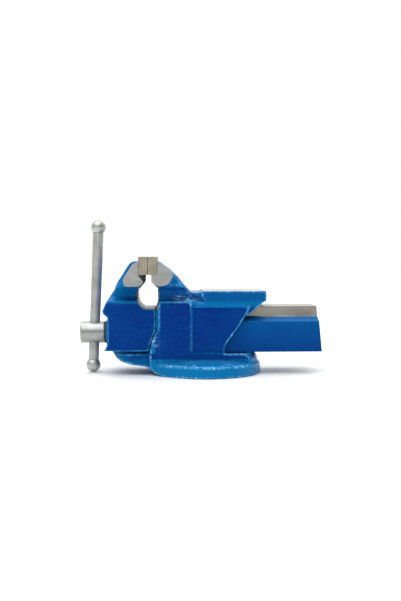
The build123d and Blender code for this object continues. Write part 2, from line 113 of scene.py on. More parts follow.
def add_to_scene(name, data):
    """Object in the scene for a mesh, light or camera."""
    made = bpy.data.objects.new(name, data)
    bpy.context.scene.collection.objects.link(made)
    return made


def read(items, attribute, width=3, kind=float):
    """One attribute of all vertices, edges or faces as an array."""
    values = np.empty(len(items) * width, dtype=kind)
    items.foreach_get(attribute, values)
    return values.reshape(-1, width) if width > 1 else values


def add_object(name, mesh, body, material):
    """Puts a finished mesh in the scene, riding on its body, with one material or a list of them."""
    piece = add_to_scene(name, mesh)
    indices = read(mesh.polygons, "material_index", 1, np.int32)
    mesh.materials.clear()
    for one in material if isinstance(material, (list, tuple)) else [material]:
        mesh.materials.append(one)
    mesh.polygons.foreach_set("material_index", indices)
    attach(piece, body)
    return piece


def get_points(mesh):
    """Vertex positions as an array."""
    return read(mesh.vertices, "co")


def set_points(mesh, points):
    """Writes an array of vertex positions back."""
    mesh.vertices.foreach_set("co", points.ravel())
    mesh.update()


def get_normals(mesh):
    """Vertex normals as an array."""
    return read(mesh.vertex_normals, "vector")


def ramp(value, low, high):
    """Smooth step of an array from 0 at low to 1 at high."""
    t = np.clip((value - low) / (high - low), 0, 1)
    return t * t * (3 - 2 * t)


def fade(value, low, high):
    """Smooth step of an array from 1 at low to 0 at high."""
    return 1 - ramp(value, low, high)


def weld(mesh):
    """Joins the points of a mesh that lie on each other."""
    joined = bmesh.new()
    joined.from_mesh(mesh)
    bmesh.ops.remove_doubles(joined, verts=joined.verts, dist=JOIN)
    joined.to_mesh(mesh)
    joined.free()


def modified(mesh, kind, **settings):
    """Copy of a mesh with one modifier applied."""
    carrier = add_to_scene("carrier", mesh)
    modifier = carrier.modifiers.new("change", kind)
    for key, value in settings.items():
        setattr(modifier, key, value)
    graph = bpy.context.evaluated_depsgraph_get()
    result = bpy.data.meshes.new_from_object(carrier.evaluated_get(graph))
    bpy.data.objects.remove(carrier)
    return result


def even_grain(mesh, voxel):
    """A closed mesh rebuilt with an even grain."""
    result = modified(mesh, "REMESH", mode="VOXEL", voxel_size=voxel)
    bpy.data.meshes.remove(mesh)
    result.polygons.foreach_set("material_index", np.zeros(len(result.polygons), dtype=np.int32))
    return result


def even_copy(node, voxel):
    """Mesh of a CAD node, rebuilt with an even grain."""
    mesh = frame["nodes"][node].data.copy()
    weld(mesh)
    return even_grain(mesh, voxel)


def neighbour_mean(mesh):
    """Function that takes one value per vertex and gives the mean over each vertex's neighbours."""
    start, end = read(mesh.edges, "vertices", 2, np.int64).T
    size = len(mesh.vertices)
    count = np.maximum(np.bincount(start, minlength=size) + np.bincount(end, minlength=size), 1)

    def mean_of(values):
        """Mean of the values at each vertex's neighbours."""
        return (np.bincount(start, values[end], size) + np.bincount(end, values[start], size)) / count

    return mean_of


def soften(mesh, weight, steps):
    """Rounds a mesh by moving each vertex towards its neighbours, by its own weight from 0 to 1."""
    mean_of = neighbour_mean(mesh)
    points = get_points(mesh)
    share = (0.5 * weight)[:, None]
    for _ in range(steps):
        mean = np.column_stack([mean_of(points[:, axis]) for axis in range(3)])
        points = points + share * (mean - points)
    set_points(mesh, points)


def cast_skin(mesh, weight, amplitude, grain):
    """Uneven skin of a sand casting under thick paint."""
    points, normals = get_points(mesh), get_normals(mesh)
    lift = np.array([noise.fractal(Vector(p) / grain, 0.9, 2.1, 3) for p in points])
    set_points(mesh, points + normals * (lift * amplitude * weight)[:, None])


def mill(mesh, place, normal, inside):
    """Cuts one flat: removes what stands above the plane near it, and closes the cut with bare iron."""
    cutter = bmesh.new()
    cutter.from_mesh(mesh)
    faces = [f for f in cutter.faces if inside(f.calc_center_median())]
    edges = {e for f in faces for e in f.edges}
    verts = {v for f in faces for v in f.verts}
    bmesh.ops.bisect_plane(cutter, geom=faces + list(edges) + list(verts), dist=CUT,
                           plane_co=place, plane_no=normal, clear_outer=True)
    rim = [e for e in cutter.edges if e.is_boundary]
    made = bmesh.ops.holes_fill(cutter, edges=rim, sides=0)
    for face in made["faces"]:
        face.material_index = GROUND
        face.smooth = False
        for edge in face.edges:
            edge.smooth = False
    cutter.to_mesh(mesh)
    cutter.free()


def depth_inside(x, z, outline):
    """Distance of points from a closed outline, negative outside it."""
    nearest = np.full(len(x), np.inf)
    inside = np.zeros(len(x), dtype=bool)
    for first, second in zip(outline, outline[1:] + outline[:1]):
        run, rise = second - first
        share = np.clip(((x - first.x) * run + (z - first.y) * rise) / (run**2 + rise**2), 0, 1)
        nearest = np.minimum(nearest, np.hypot(x - first.x - share * run, z - first.y - share * rise))
        if rise:
            level = (first.y > z) != (second.y > z)
            inside ^= level & (x < first.x + run * (z - first.y) / rise)
    return np.where(inside, nearest, -nearest)


def mark(mesh, name, values):
    """Writes one number per vertex for the materials."""
    mesh.attributes.new(name, "FLOAT", "POINT").data.foreach_set("value", np.clip(values, 0, 1))


def mark_crests(mesh, spread):
    """Writes how convex the surface is at each vertex, for the paint: 0.5 is flat."""
    mean_of = neighbour_mean(mesh)
    points, normals = get_points(mesh), get_normals(mesh)
    sag = sum((points[:, i] - mean_of(points[:, i])) * normals[:, i] for i in range(3))
    for _ in range(3):
        sag = 0.5 * sag + 0.5 * mean_of(sag)
    mark(mesh, "crest", 0.5 + sag / spread)


def smooth_faces(mesh):
    """Smooth shading all over."""
    mesh.polygons.foreach_set("use_smooth", np.ones(len(mesh.polygons), dtype=bool))


def even_shading(mesh):
    """Smooth copy of a mesh with sharp corners kept and normals weighted by face area, so flats look flat."""
    smooth_faces(mesh)
    mesh.set_sharp_from_angle(angle=radians(38))
    return modified(mesh, "WEIGHTED_NORMAL", keep_sharp=True)


# ---- materials ---------------------------------------------------------------------------


class Shader:
    """Short way to write a node material."""

    def __init__(self, name):
        self.material = bpy.data.materials.new(name)
        self.material.use_nodes = True
        self.tree = self.material.node_tree
        self.tree.nodes.clear()
        self.surface = self.node("ShaderNodeBsdfPrincipled")
        output = self.node("ShaderNodeOutputMaterial")
        self.tree.links.new(self.surface.outputs[0], output.inputs["Surface"])
        self.place = self.node("ShaderNodeTexCoord").outputs["Object"]

    def node(self, kind, **settings):
        """Adds a node with some of its properties set."""
        made = self.tree.nodes.new(kind)
        for key, value in settings.items():
            setattr(made, key, value)
        return made

    def put(self, socket, value):
        """Links an output to a socket, or sets the socket to a value."""
        if isinstance(value, bpy.types.NodeSocket):
            self.tree.links.new(value, socket)
        else:
            socket.default_value = value

    def noise(self, scale, detail=3.0, rough=0.55, place=None):
        """Noise from 0 to 1; scale is in cycles per metre."""
        made = self.node("ShaderNodeTexNoise")
        self.put(made.inputs["Vector"], place or self.place)
        self.put(made.inputs["Scale"], scale)
        self.put(made.inputs["Detail"], detail)
        self.put(made.inputs["Roughness"], rough)
        return made.outputs["Fac"]

    def stretched(self, factors):
        """Object place scaled by its own factor along each axis."""
        made = self.node("ShaderNodeMapping")
        self.put(made.inputs["Vector"], self.place)
        self.put(made.inputs["Scale"], factors)
        return made.outputs["Vector"]

    def times(self, first, second):
        """Product of two numbers."""
        made = self.node("ShaderNodeMath", operation="MULTIPLY")
        self.put(made.inputs[0], first)
        self.put(made.inputs[1], second)
        return made.outputs[0]

    def remap(self, value, low, high, to_low=0.0, to_high=1.0):
        """Clamped smooth map of a value from one range to another."""
        made = self.node("ShaderNodeMapRange", interpolation_type="SMOOTHSTEP")
        sockets = ("Value", "From Min", "From Max", "To Min", "To Max")
        for socket, number in zip(sockets, (value, low, high, to_low, to_high)):
            self.put(made.inputs[socket], number)
        return made.outputs["Result"]

    def mix(self, share, first, second):
        """Colour from first to second as share goes from 0 to 1."""
        made = self.node("ShaderNodeMix", data_type="RGBA")
        self.put(made.inputs["Factor"], share)
        self.put(made.inputs[6], first)
        self.put(made.inputs[7], second)
        return made.outputs[2]

    def vertex_value(self, name):
        """Number that the mesh holds at each vertex under a name."""
        return self.node("ShaderNodeAttribute", attribute_name=name).outputs["Fac"]

    def bump(self, height, distance, strength, under=None):
        """Bump of a height from 0 to 1, distance metres high, over another bump if one is given."""
        made = self.node("ShaderNodeBump")
        self.put(made.inputs["Height"], height)
        self.put(made.inputs["Distance"], distance)
        self.put(made.inputs["Strength"], strength)
        if under is not None:
            self.put(made.inputs["Normal"], under)
        return made.outputs["Normal"]

    def set(self, **sockets):
        """Sets sockets of the surface shader: Base_Color is written for Base Color."""
        for key, value in sockets.items():
            self.put(self.surface.inputs[key.replace("_", " ")], value)
        return self


def rgb(red, green, blue):
    """Colour from linear red, green and blue."""
    return (red, green, blue, 1.0)


ENAMEL_SHADED = rgb(0.001, 0.015, 0.178)  # painted shade: the colour of the broad sides, facing away from the light
# Painted light: the lit colour of the enamel, on bevels and the lighter places; random flecks take it too.
ENAMEL_LIT = rgb(0.003, 0.166, 0.400)
# Painted highlight along the crests, where the enamel is also thinner.
ENAMEL_EDGE_HIGHLIGHT = rgb(0.040, 0.290, 0.580)
# Painted shade in the inner corners.
ENAMEL_CREASE_SHADE = rgb(0.001, 0.022, 0.110)
# Painted glint: pale dashes along the edges and pale strokes in the glint patches.
ENAMEL_GLINT = rgb(0.380, 0.600, 0.740)


def enamel():
    """Thick gloss enamel over cast iron, with light and shade painted in: darker on the broad sides and pale on
    the edges, as painted shade and painted highlights.
    """
    s = Shader("blue_enamel")
    crest = s.vertex_value("crest")
    painted_shade = s.vertex_value("painted_shade")
    glint = s.vertex_value("glint")
    drift = s.noise(16, 4)
    # Painted light and shade: the lit colour on bevels and lit places, the shaded colour on the broad sides, with
    # a little random drift.
    colour = s.mix(s.times(painted_shade, s.remap(drift, 0.2, 0.7, 1.0, 0.85)), ENAMEL_LIT, ENAMEL_SHADED)

    # Painted highlights on the edges, where the enamel is also thinner, and painted shade in the inner corners. A
    # mesh without crests reads 0, which is neither.
    edge = s.times(s.remap(crest, 0.58, 0.80), s.remap(s.noise(150, 4), 0.38, 0.62, 0.25, 0.95))
    colour = s.mix(edge, colour, ENAMEL_EDGE_HIGHLIGHT)
    # Painted shade: darker where the surface is concave.
    hollow = s.times(s.remap(crest, 0.44, 0.15), s.remap(crest, 0.0, 0.02))
    colour = s.mix(s.times(hollow, 0.6), colour, ENAMEL_CREASE_SHADE)

    # Flecks of the lit colour all over at random, then painted glints: pale dashes along the edges and pale
    # strokes in the glint patches.
    flecks = s.remap(s.noise(430, 5, 0.7), 0.54, 0.72, 0.0, 0.45)
    colour = s.mix(flecks, colour, ENAMEL_LIT)
    edge_glints = s.times(s.remap(s.noise(380, 4, 0.6), 0.57, 0.64), s.remap(crest, 0.64, 0.78))
    colour = s.mix(edge_glints, colour, ENAMEL_GLINT)
    strokes = s.remap(s.noise(170, 5, 0.65, s.stretched((0.6, 1, 2))), 0.49, 0.60)
    colour = s.mix(s.times(glint, strokes), colour, ENAMEL_GLINT)

    # Slow waves in the gloss with a fine orange peel over them.
    rough = s.remap(s.noise(60, 4), 0.3, 0.7, 0.20, 0.34)
    normal = s.bump(s.noise(95, 3), 0.0006, 0.5)
    normal = s.bump(s.noise(520, 2), 0.00012, 0.45, normal)
    s.set(Base_Color=colour, Roughness=rough, Normal=normal)
    s.surface.inputs["Specular IOR Level"].default_value = 0.5
    s.surface.inputs["Specular Tint"].default_value = rgb(0.05, 0.32, 1.0)
    return s.material


def shaded_raw_iron():
    """Unpainted skin of the casting in the gap between the jaws, drawn near black as painted shade of the deep
    gap.
    """
    s = Shader("shaded_raw_iron")
    grain = s.noise(450, 4)
    s.set(Base_Color=s.mix(grain, rgb(0.012, 0.012, 0.013), rgb(0.045, 0.043, 0.040)), Roughness=0.7)
    s.set(Normal=s.bump(grain, 0.0002, 0.6))
    return s.material


def ground_iron(name, low, high, scratch):
    """Ground iron, blotched between two colours, with fine straight scratches along the vise."""
    s = Shader(name)
    along = s.noise(1500, 4, 0.65, s.stretched((0.03, 1, 1)))
    blotch = s.noise(45, 5)
    colour = s.mix(s.remap(blotch, 0.3, 0.7), low, high)
    colour = s.mix(s.remap(along, 0.35, 0.7, 0.0, 0.35), colour, scratch)
    s.set(Base_Color=colour, Metallic=1.0, Roughness=s.remap(along, 0.3, 0.7, 0.36, 0.52))
    s.set(Normal=s.bump(along, 0.00005, 0.5))
    return s.material


def plate_steel():
    """Hardened ground steel, straw-tinted, with scratches down the plate's ends."""
    s = Shader("plate_steel")
    down = s.noise(1300, 5, 0.7, s.stretched((1, 1, 0.04)))
    blotch = s.noise(70, 6, 0.6)
    speck = s.remap(s.noise(900, 4, 0.6), 0.60, 0.70)
    colour = s.mix(s.remap(blotch, 0.3, 0.7), rgb(0.36, 0.32, 0.24), rgb(0.50, 0.46, 0.37))
    colour = s.mix(s.remap(down, 0.35, 0.7, 0.0, 0.5), colour, rgb(0.22, 0.19, 0.14))
    colour = s.mix(s.times(speck, 0.5), colour, rgb(0.16, 0.12, 0.08))
    s.set(Base_Color=colour, Metallic=1.0, Roughness=s.remap(down, 0.3, 0.7, 0.34, 0.55))
    s.set(Normal=s.bump(down, 0.00006, 0.5))
    return s.material


def turned_steel(name, grain, metal, colours, roughness):
    """Plated turned steel with faint stains and fine lathe marks; grain scales the marks along each axis."""
    s = Shader(name)
    marks = s.noise(1200, 4, 0.6, s.stretched(grain))
    blotch = s.noise(55, 5)
    stain = s.remap(s.noise(160, 5, 0.65), 0.58, 0.75)
    colour = s.mix(s.remap(blotch, 0.3, 0.7), *colours)
    colour = s.mix(s.times(stain, 0.45), colour, rgb(0.20, 0.18, 0.15))
    s.set(Base_Color=colour, Metallic=metal, Roughness=s.remap(marks, 0.3, 0.7, *roughness))
    s.set(Normal=s.bump(marks, 0.00005, 0.5))
    return s.material


def dark_steel():
    """Black-oxide fasteners."""
    s = Shader("dark_steel")
    spots = s.noise(600, 4)
    s.set(Base_Color=s.mix(spots, rgb(0.03, 0.03, 0.032), rgb(0.09, 0.088, 0.085)), Metallic=0.8)
    s.set(Roughness=s.remap(spots, 0.3, 0.7, 0.35, 0.55), Normal=s.bump(spots, 0.00004, 0.4))
    return s.material


def spring_steel():
    """Oiled spring wire."""
    s = Shader("spring_steel")
    spots = s.noise(420, 4)
    s.set(Base_Color=s.mix(spots, rgb(0.12, 0.12, 0.13), rgb(0.26, 0.26, 0.27)), Metallic=1.0)
    s.set(Roughness=s.remap(spots, 0.3, 0.7, 0.25, 0.4), Normal=s.bump(spots, 0.00003, 0.4))
    return s.material


def nut_iron():
    """Machined and oiled iron of the nut."""
    s = Shader("nut_iron")
    cut = s.noise(900, 4, 0.6, s.stretched((1, 1, 0.1)))
    s.set(Base_Color=s.mix(s.noise(80, 4), rgb(0.16, 0.155, 0.15), rgb(0.30, 0.29, 0.28)), Metallic=1.0)
    s.set(Roughness=s.remap(cut, 0.3, 0.7, 0.35, 0.55), Normal=s.bump(cut, 0.00005, 0.5))
    return s.material


# ---- turned and drawn shapes ---------------------------------------------------------------


def mesh_from(maker, name):
    """Closes a bmesh into a mesh with outward normals and crisp corners."""
    bmesh.ops.recalc_face_normals(maker, faces=maker.faces)
    mesh = bpy.data.meshes.new(name)
    maker.to_mesh(mesh)
    maker.free()
    return even_shading(mesh)


def axis_frame(origin, direction):
    """Matrix whose X axis is the given direction and whose origin is the given place."""
    turn = Vector((1, 0, 0)).rotation_difference(Vector(direction).normalized())
    return Matrix.Translation(origin) @ turn.to_matrix().to_4x4()


def lathe(profile, matrix, steps=64, maker=None):
    """Revolves (place, radius) pairs round the X axis of a matrix; a radius of 0 closes an end."""
    made = maker or bmesh.new()
    rings = []
    for place, radius in profile:
        if radius == 0:
            rings.append([made.verts.new(matrix @ Vector((place, 0, 0)))] * steps)
            continue
        ring = []
        for i in range(steps):
            turn = 2 * pi * i / steps
            ring.append(made.verts.new(matrix @ Vector((place, radius * cos(turn), radius * sin(turn)))))
        rings.append(ring)
    for first, second in zip(rings, rings[1:]):
        for i in range(steps):
            j = (i + 1) % steps
            corners = list(dict.fromkeys((first[i], first[j], second[j], second[i])))
            made.faces.new(corners)
    return made


def rounded(corners, radii, steps=5):
    """Closed outline with each corner replaced by an arc of its own radius."""
    outline = []
    for i, corner in enumerate(corners):
        here = Vector(corner)
        back = (Vector(corners[i - 1]) - here).normalized()
        ahead = (Vector(corners[(i + 1) % len(corners)]) - here).normalized()
        half = back.angle(ahead) / 2
        middle = here + (back + ahead).normalized() * (radii[i] / sin(half))
        start = here + back * (radii[i] / tan(half)) - middle
        end = here + ahead * (radii[i] / tan(half)) - middle
        sweep = start.angle_signed(end)
        for step in range(steps + 1):
            turn = Matrix.Rotation(-sweep * step / steps, 2)
            outline.append(middle + turn @ start)
    return outline


def subtract(mesh, cutters):
    """Mesh with the cutters' solids taken away."""
    for cutter in cutters:
        tool = add_to_scene("tool", cutter)
        mesh = modified(mesh, "BOOLEAN", operation="DIFFERENCE", solver="EXACT", object=tool)
        bpy.data.objects.remove(tool)
    weld(mesh)
    return even_shading(mesh)


# ---- castings ------------------------------------------------------------------------------


def ground_ears(mesh, outline):
    """Grinds both sides of a jaw flat, flush with the ends of the plates, inside an outline seen along Y."""
    points = get_points(mesh)
    x, y, z = points.T
    near = ramp(np.abs(y), GRIND_SIDE - 4.5 * MM, GRIND_SIDE - 1.5 * MM) * (z > NECK_HEIGHT)
    target = GRIND_SIDE + np.clip(0.5 * depth_inside(x, z, outline), -2.5 * MM, 0.9 * MM)
    points[:, 1] += np.sign(y) * near * (target - np.abs(y))
    set_points(mesh, points)
    for side in (-1, 1):
        mill(mesh, (0, side * GRIND_SIDE, 0), (0, side, 0),
             lambda c, s=side: s * c.y > GRIND_SIDE - 4 * MM and c.z > NECK_HEIGHT)


def beyond_plates(x, z):
    """Weight that keeps the machined seats and lips next to the plates crisp."""
    away = ramp(np.abs(x - GRIP_PLANE), 12.4 * MM, 15.5 * MM)
    return np.maximum(away, 0.22) * (z > NECK_HEIGHT) + (z <= NECK_HEIGHT)


# Corners of the ground ears: X from the grip plane, Z from the bottom of the plates and radius, in mm.
FIXED_EAR = [(1.0, 17.0, 0.5), (12.5, 17.0, 2.0), (18.6, 9.9, 6.0), (25.6, 5.2, 5.0), (27.4, -2.0, 6.0),
             (22.6, -9.9, 6.0), (15.0, -12.4, 5.0), (1.0, -12.4, 0.5)]
MOVING_EAR = [(-9.0, 12.9, 0.5), (-15.6, 12.9, 2.5), (-27.2, -5.0, 6.0), (-25.2, -13.6, 5.0),
              (-6.0, -13.6, 3.0), (-4.0, -8.6, 1.0), (-10.6, -0.2, 0.5), (-9.0, 1.0, 0.5)]


def ear_outline(corners):
    """Outline of a ground ear in metres, seen along Y."""
    start = Vector((GRIP_PLANE, PLATE_BOTTOM))
    outline = rounded([(x, z) for x, z, _ in corners], [radius for _, _, radius in corners])
    return [start + place * MM for place in outline]


def mark_painted_shade(mesh, low, high, side, painted_light=0.0):
    """Writes painted light and shade for the enamel: 1, the painted shade, on the broad sides between two heights,
    lighter on the bevels and where the last argument, the painted light, is more.
    """
    _, y, z = get_points(mesh).T
    normals = get_normals(mesh)
    sideways, upright = np.abs(normals[:, 1]), 1 - np.abs(normals[:, 2])
    broad = ramp(sideways, 0.90, 0.985) * ramp(np.abs(y), side - 2 * MM, side)
    broad *= ramp(z, low - 1.5 * MM, low + 1.5 * MM) * fade(z, high - 1 * MM, high + 1 * MM)
    bevel = ramp(sideways, 0.35, 0.55) * fade(sideways, 0.83, 0.93) * ramp(upright, 0.6, 0.8)
    mark(mesh, "painted_shade", (0.5 + 0.5 * broad) * (1 - 0.8 * bevel) * (1 - painted_light))


def patch(x, z, middle, reach):
    """Soft oval patch seen along Y, 1 in its middle; middle and reach are pairs for X and Z."""
    return np.exp(-(((x - middle[0]) / reach[0]) ** 2) - ((z - middle[1]) / reach[1]) ** 2)


def soften_casting(mesh, weight, steps, jaw_steps):
    """Rounds the corners of a casting, and those of its jaw some more."""
    jaw = weight * ramp(get_points(mesh)[:, 2], 84 * MM, 94 * MM)
    soften(mesh, weight, steps)
    soften(mesh, jaw, jaw_steps)


def leave_bare(mesh):
    """Leaves the throat unpainted: machined iron below, and raw skin in the gap above, drawn near black as painted
    shade.
    """
    x, y, z = read(mesh.polygons, "center").T
    x = x - GRIP_PLANE
    inward = np.abs(read(mesh.polygons, "normal")[:, 1]) < 0.75
    indices = read(mesh.polygons, "material_index", 1, np.int32)
    painted = indices == PAINTED
    throat = inward & (np.abs(x) < 13.4 * MM) & (z > 73.0 * MM) & (z < 93.0 * MM)
    floor = throat & (np.abs(y) < BOX_HALF_WIDTH - 0.4 * MM)
    gap = inward & (np.abs(x) < 9.0 * MM) & (z > 97.0 * MM) & (z < PLATE_BOTTOM)
    lip = (x > -10.6 * MM) & (x < 0) & (z > 103.0 * MM) & (z < PLATE_BOTTOM + 0.5 * MM)
    indices[floor] = GROUND
    # Painted shade: the gap and the lip under the plates take the near-black raw iron.
    indices[painted & (gap | lip)] = SHADED_RAW
    mesh.polygons.foreach_set("material_index", indices)


def fixed_casting():
    """Fixed body: cast, dipped in enamel, then ground on the ears and on the anvil."""
    mesh = even_copy("fixed_body", 1.0 * MM)
    x, y, z = get_points(mesh).T
    across = np.abs(y)
    bolts = [(side_x * BOLT_HALF_X, side_y * BOLT_HALF_Y) for side_x in (-1, 1) for side_y in (-1, 1)]
    from_bolt = np.minimum.reduce([np.hypot(x - bolt_x, y - bolt_y) for bolt_x, bolt_y in bolts])

    # The channel, the bolt holes, the underside and the face next to the box stay crisper.
    outside = ramp(across, 26.5 * MM, 30.0 * MM) + fade(z, 23.5 * MM, 25.0 * MM)
    outside += ramp(z, 77.5 * MM, 80.0 * MM)
    weight = np.clip(outside, 0, 1) * ramp(from_bolt, 6.5 * MM, 8.5 * MM)
    weight *= 0.35 + 0.65 * ramp(z, 1.0 * MM, 3.0 * MM)
    weight *= beyond_plates(x, z)
    front_face = fade(x, BODY_FRONT + 0.5 * MM, BODY_FRONT + 1.5 * MM)
    weight *= 1 - 0.6 * front_face * (across < BOX_HALF_WIDTH) * (z > 50 * MM)
    soften_casting(mesh, weight, 5, 8)
    cast_skin(mesh, weight * ramp(z, 0.5 * MM, 4.0 * MM), 0.22 * MM, 12 * MM)
    smooth_faces(mesh)
    mark_crests(mesh, 0.17 * MM)

    # Painted light: the enamel is drawn lighter on the flange, on the gusset and along the band under the anvil,
    # and painted shade darkens the jaw above the body, most at the foot of the neck.
    x, y, z = get_points(mesh).T
    across = np.abs(y)
    beyond_body = np.maximum(ramp(x, -62.0 * MM, -58.0 * MM), ramp(across, 31.5 * MM, 33.5 * MM))
    flange = fade(z, 17.5 * MM, 19.0 * MM) * beyond_body
    gusset = fade(x, -58.6 * MM, -57.8 * MM) * ramp(z, 24 * MM, 26 * MM) * fade(z, 49 * MM, 51 * MM)
    under_anvil = ramp(z, 75.5 * MM, 76.5 * MM) * fade(z, 82.0 * MM, 83.0 * MM)
    band = ramp(x, BODY_STEP - 0.5 * MM, BODY_STEP + 1.0 * MM) * under_anvil * ramp(across, 30 * MM, 32 * MM)
    neck_foot = fade(z, 97 * MM, 100 * MM) * fade(x, -15 * MM, -10 * MM)
    neck = ramp(z, 83.5 * MM, 85.0 * MM) * (0.15 + 0.35 * neck_foot)
    painted_light = np.maximum.reduce([flange, 0.8 * gusset, 0.7 * band]) - neck
    mark_painted_shade(mesh, 18 * MM, BODY_TOP, BODY_SIDE, painted_light)
    # Painted highlights: patches for pale glint strokes, in the corner between the neck and the anvil and on the
    # gusset.
    glints = patch(x, z, (-24.0 * MM, 86.5 * MM), (11.0 * MM, 3.5 * MM))
    glints += patch(x, z, (-60.5 * MM, 39.0 * MM), (4.0 * MM, 6.0 * MM))
    mark(mesh, "glint", glints * ramp(across, 24 * MM, 27 * MM))

    ground_ears(mesh, ear_outline(FIXED_EAR))
    points = get_points(mesh)
    x, _, z = points.T
    on_anvil = ramp(x, ANVIL_FRONT, ANVIL_FRONT + 2.5 * MM) * ramp(z, ANVIL_TOP - 2.0 * MM, ANVIL_TOP)
    points[:, 2] += on_anvil * 0.7 * MM
    set_points(mesh, points)
    mill(mesh, (0, 0, ANVIL_TOP), (0, 0, 1),
         lambda c: c.x > ANVIL_FRONT - 0.3 * MM and c.z > ANVIL_TOP - 2.5 * MM)
    leave_bare(mesh)
    return add_object("fixed_body_casting", mesh, "vise_body", CASTING)


def jaw_without_slide():
    """Mesh of the CAD's moving jaw, cut off behind its box and closed."""
    mesh = frame["nodes"]["moving_jaw"].data.copy()
    weld(mesh)
    cut = bmesh.new()
    cut.from_mesh(mesh)
    everything = list(cut.verts) + list(cut.edges) + list(cut.faces)
    bmesh.ops.bisect_plane(cut, geom=everything, dist=CUT, plane_co=(BOX_REAR + 0.05 * MM, 0, 0),
                           plane_no=(1, 0, 0), clear_outer=True)
    bmesh.ops.holes_fill(cut, edges=[e for e in cut.edges if e.is_boundary], sides=0)
    bmesh.ops.triangulate(cut, faces=[f for f in cut.faces if len(f.verts) > 4])
    cut.to_mesh(mesh)
    cut.free()
    return mesh


def moving_casting():
    """Moving jaw with its box and boss, without the slide, which is a piece of its own."""
    mesh = even_grain(jaw_without_slide(), 0.85 * MM)
    x, y, z = get_points(mesh).T
    from_axis = np.hypot(y, z - AXIS_HEIGHT)

    # The hollow, the bore of the boss and the rear face stay crisper.
    outside = ramp(np.abs(y), 19.5 * MM, 22.5 * MM) + ramp(z, 63.5 * MM, 66.0 * MM)
    outside += fade(x, -101.5 * MM, -99.5 * MM)
    weight = np.clip(outside, 0, 1) * ramp(from_axis, 9.8 * MM, 11.2 * MM)
    weight *= beyond_plates(x, z)
    weight *= 1 - 0.7 * ramp(x, BOX_REAR - 2.5 * MM, BOX_REAR - 1.0 * MM)
    soften_casting(mesh, weight, 6, 12)
    boss_face = fade(x, -114.3 * MM, -113.5 * MM) * fade(from_axis, 15 * MM, 16 * MM)
    cast_skin(mesh, weight * (1 - boss_face), 0.22 * MM, 12 * MM)
    smooth_faces(mesh)
    mark_crests(mesh, 0.30 * MM)
    x, _, z = get_points(mesh).T
    slope = fade(x, -100 * MM, -85 * MM) * ramp(z, 79 * MM, 85 * MM)
    # Painted light on the sloping front of the jaw above the box, painted shade on the broad sides.
    mark_painted_shade(mesh, 26 * MM, BODY_TOP, BODY_SIDE, 0.7 * slope)
    ground_ears(mesh, ear_outline(MOVING_EAR))
    leave_bare(mesh)
    return add_object("moving_jaw_casting", mesh, "sliding_jaw", CASTING)


def slide_bar():
    """Hollow slide: an upside-down U with machined guides on top and painted sides."""
    side, guide, hollow = 28.0, 18.5, 19.0  # half widths in mm
    bottom, shoulder, roof, foot, top = SLIDE_BOTTOM / MM, 60.0, 61.5, 65.0, SLIDE_TOP / MM
    corners = [(-side, bottom), (-side, shoulder), (-guide, foot), (-guide, top), (guide, top), (guide, foot),
               (side, shoulder), (side, bottom), (hollow, bottom), (hollow, roof), (-hollow, roof),
               (-hollow, bottom)]
    radii = [0.8, 2.2, 1.2, 0.5, 0.5, 1.2, 2.2, 0.8, 0.8, 1.0, 1.0, 0.8]
    full = [p * MM for p in rounded(corners, radii)]
    groove_bottom = SLIDE_TOP - 1.6 * MM  # shallow groove across the guides, next to the box
    groove_end = BOX_REAR + 2.7 * MM
    made = bmesh.new()

    def station(place, inset=0.0, ceiling=SLIDE_TOP):
        """One ring of the slide: place gives X from Z, inset shrinks the section, ceiling cuts its top."""
        ring = []
        for i, p in enumerate(full):
            along = (full[(i + 1) % len(full)] - full[i - 1]).normalized()
            y, z = p + Vector((along.y, -along.x)) * inset
            z = min(z, ceiling)
            ring.append(made.verts.new((place(z), y, z)))
        return ring

    def rear(z):
        """X of the leaning rear end."""
        return JAW_HIGH.x - SLIDE_LEAN * (z - SLIDE_BOTTOM) / (SLIDE_TOP - SLIDE_BOTTOM)

    rings = [station(lambda z: BOX_REAR - 1.4 * MM, ceiling=groove_bottom),
             station(lambda z: BOX_REAR + 2.0 * MM, ceiling=groove_bottom),
             station(lambda z: groove_end)]
    count = 60
    for i in range(1, count):
        rings.append(station(lambda z, share=i / count: groove_end * (1 - share) + rear(z) * share))
    edge = 0.6 * MM
    rings.append(station(lambda z: rear(z) - edge))
    for turn in (30, 60, 90):
        short = edge * (1 - sin(radians(turn)))
        rings.append(station(lambda z, gap=short: rear(z) - gap, edge * (1 - cos(radians(turn)))))
    for first, second in zip(rings, rings[1:]):
        for i in range(len(full)):
            j = (i + 1) % len(full)
            made.faces.new((first[i], first[j], second[j], second[i]))
    made.faces.new(rings[0])
    made.faces.new(rings[-1])
    mesh = mesh_from(made, "slide_bar")
    for face in mesh.polygons:
        _, y, z = face.center / MM
        if z > foot - 0.1 and abs(y) < guide + 0.4:
            face.material_index = GROUND
    # Painted shade on the slide's broad sides.
    mark_painted_shade(mesh, 25 * MM, 58.5 * MM, 27 * MM)
    return add_object("slide_bar", mesh, "sliding_jaw", [ENAMEL, GUIDE_IRON])


# ---- jaw plates, spindle and handle ----------------------------------------------------------


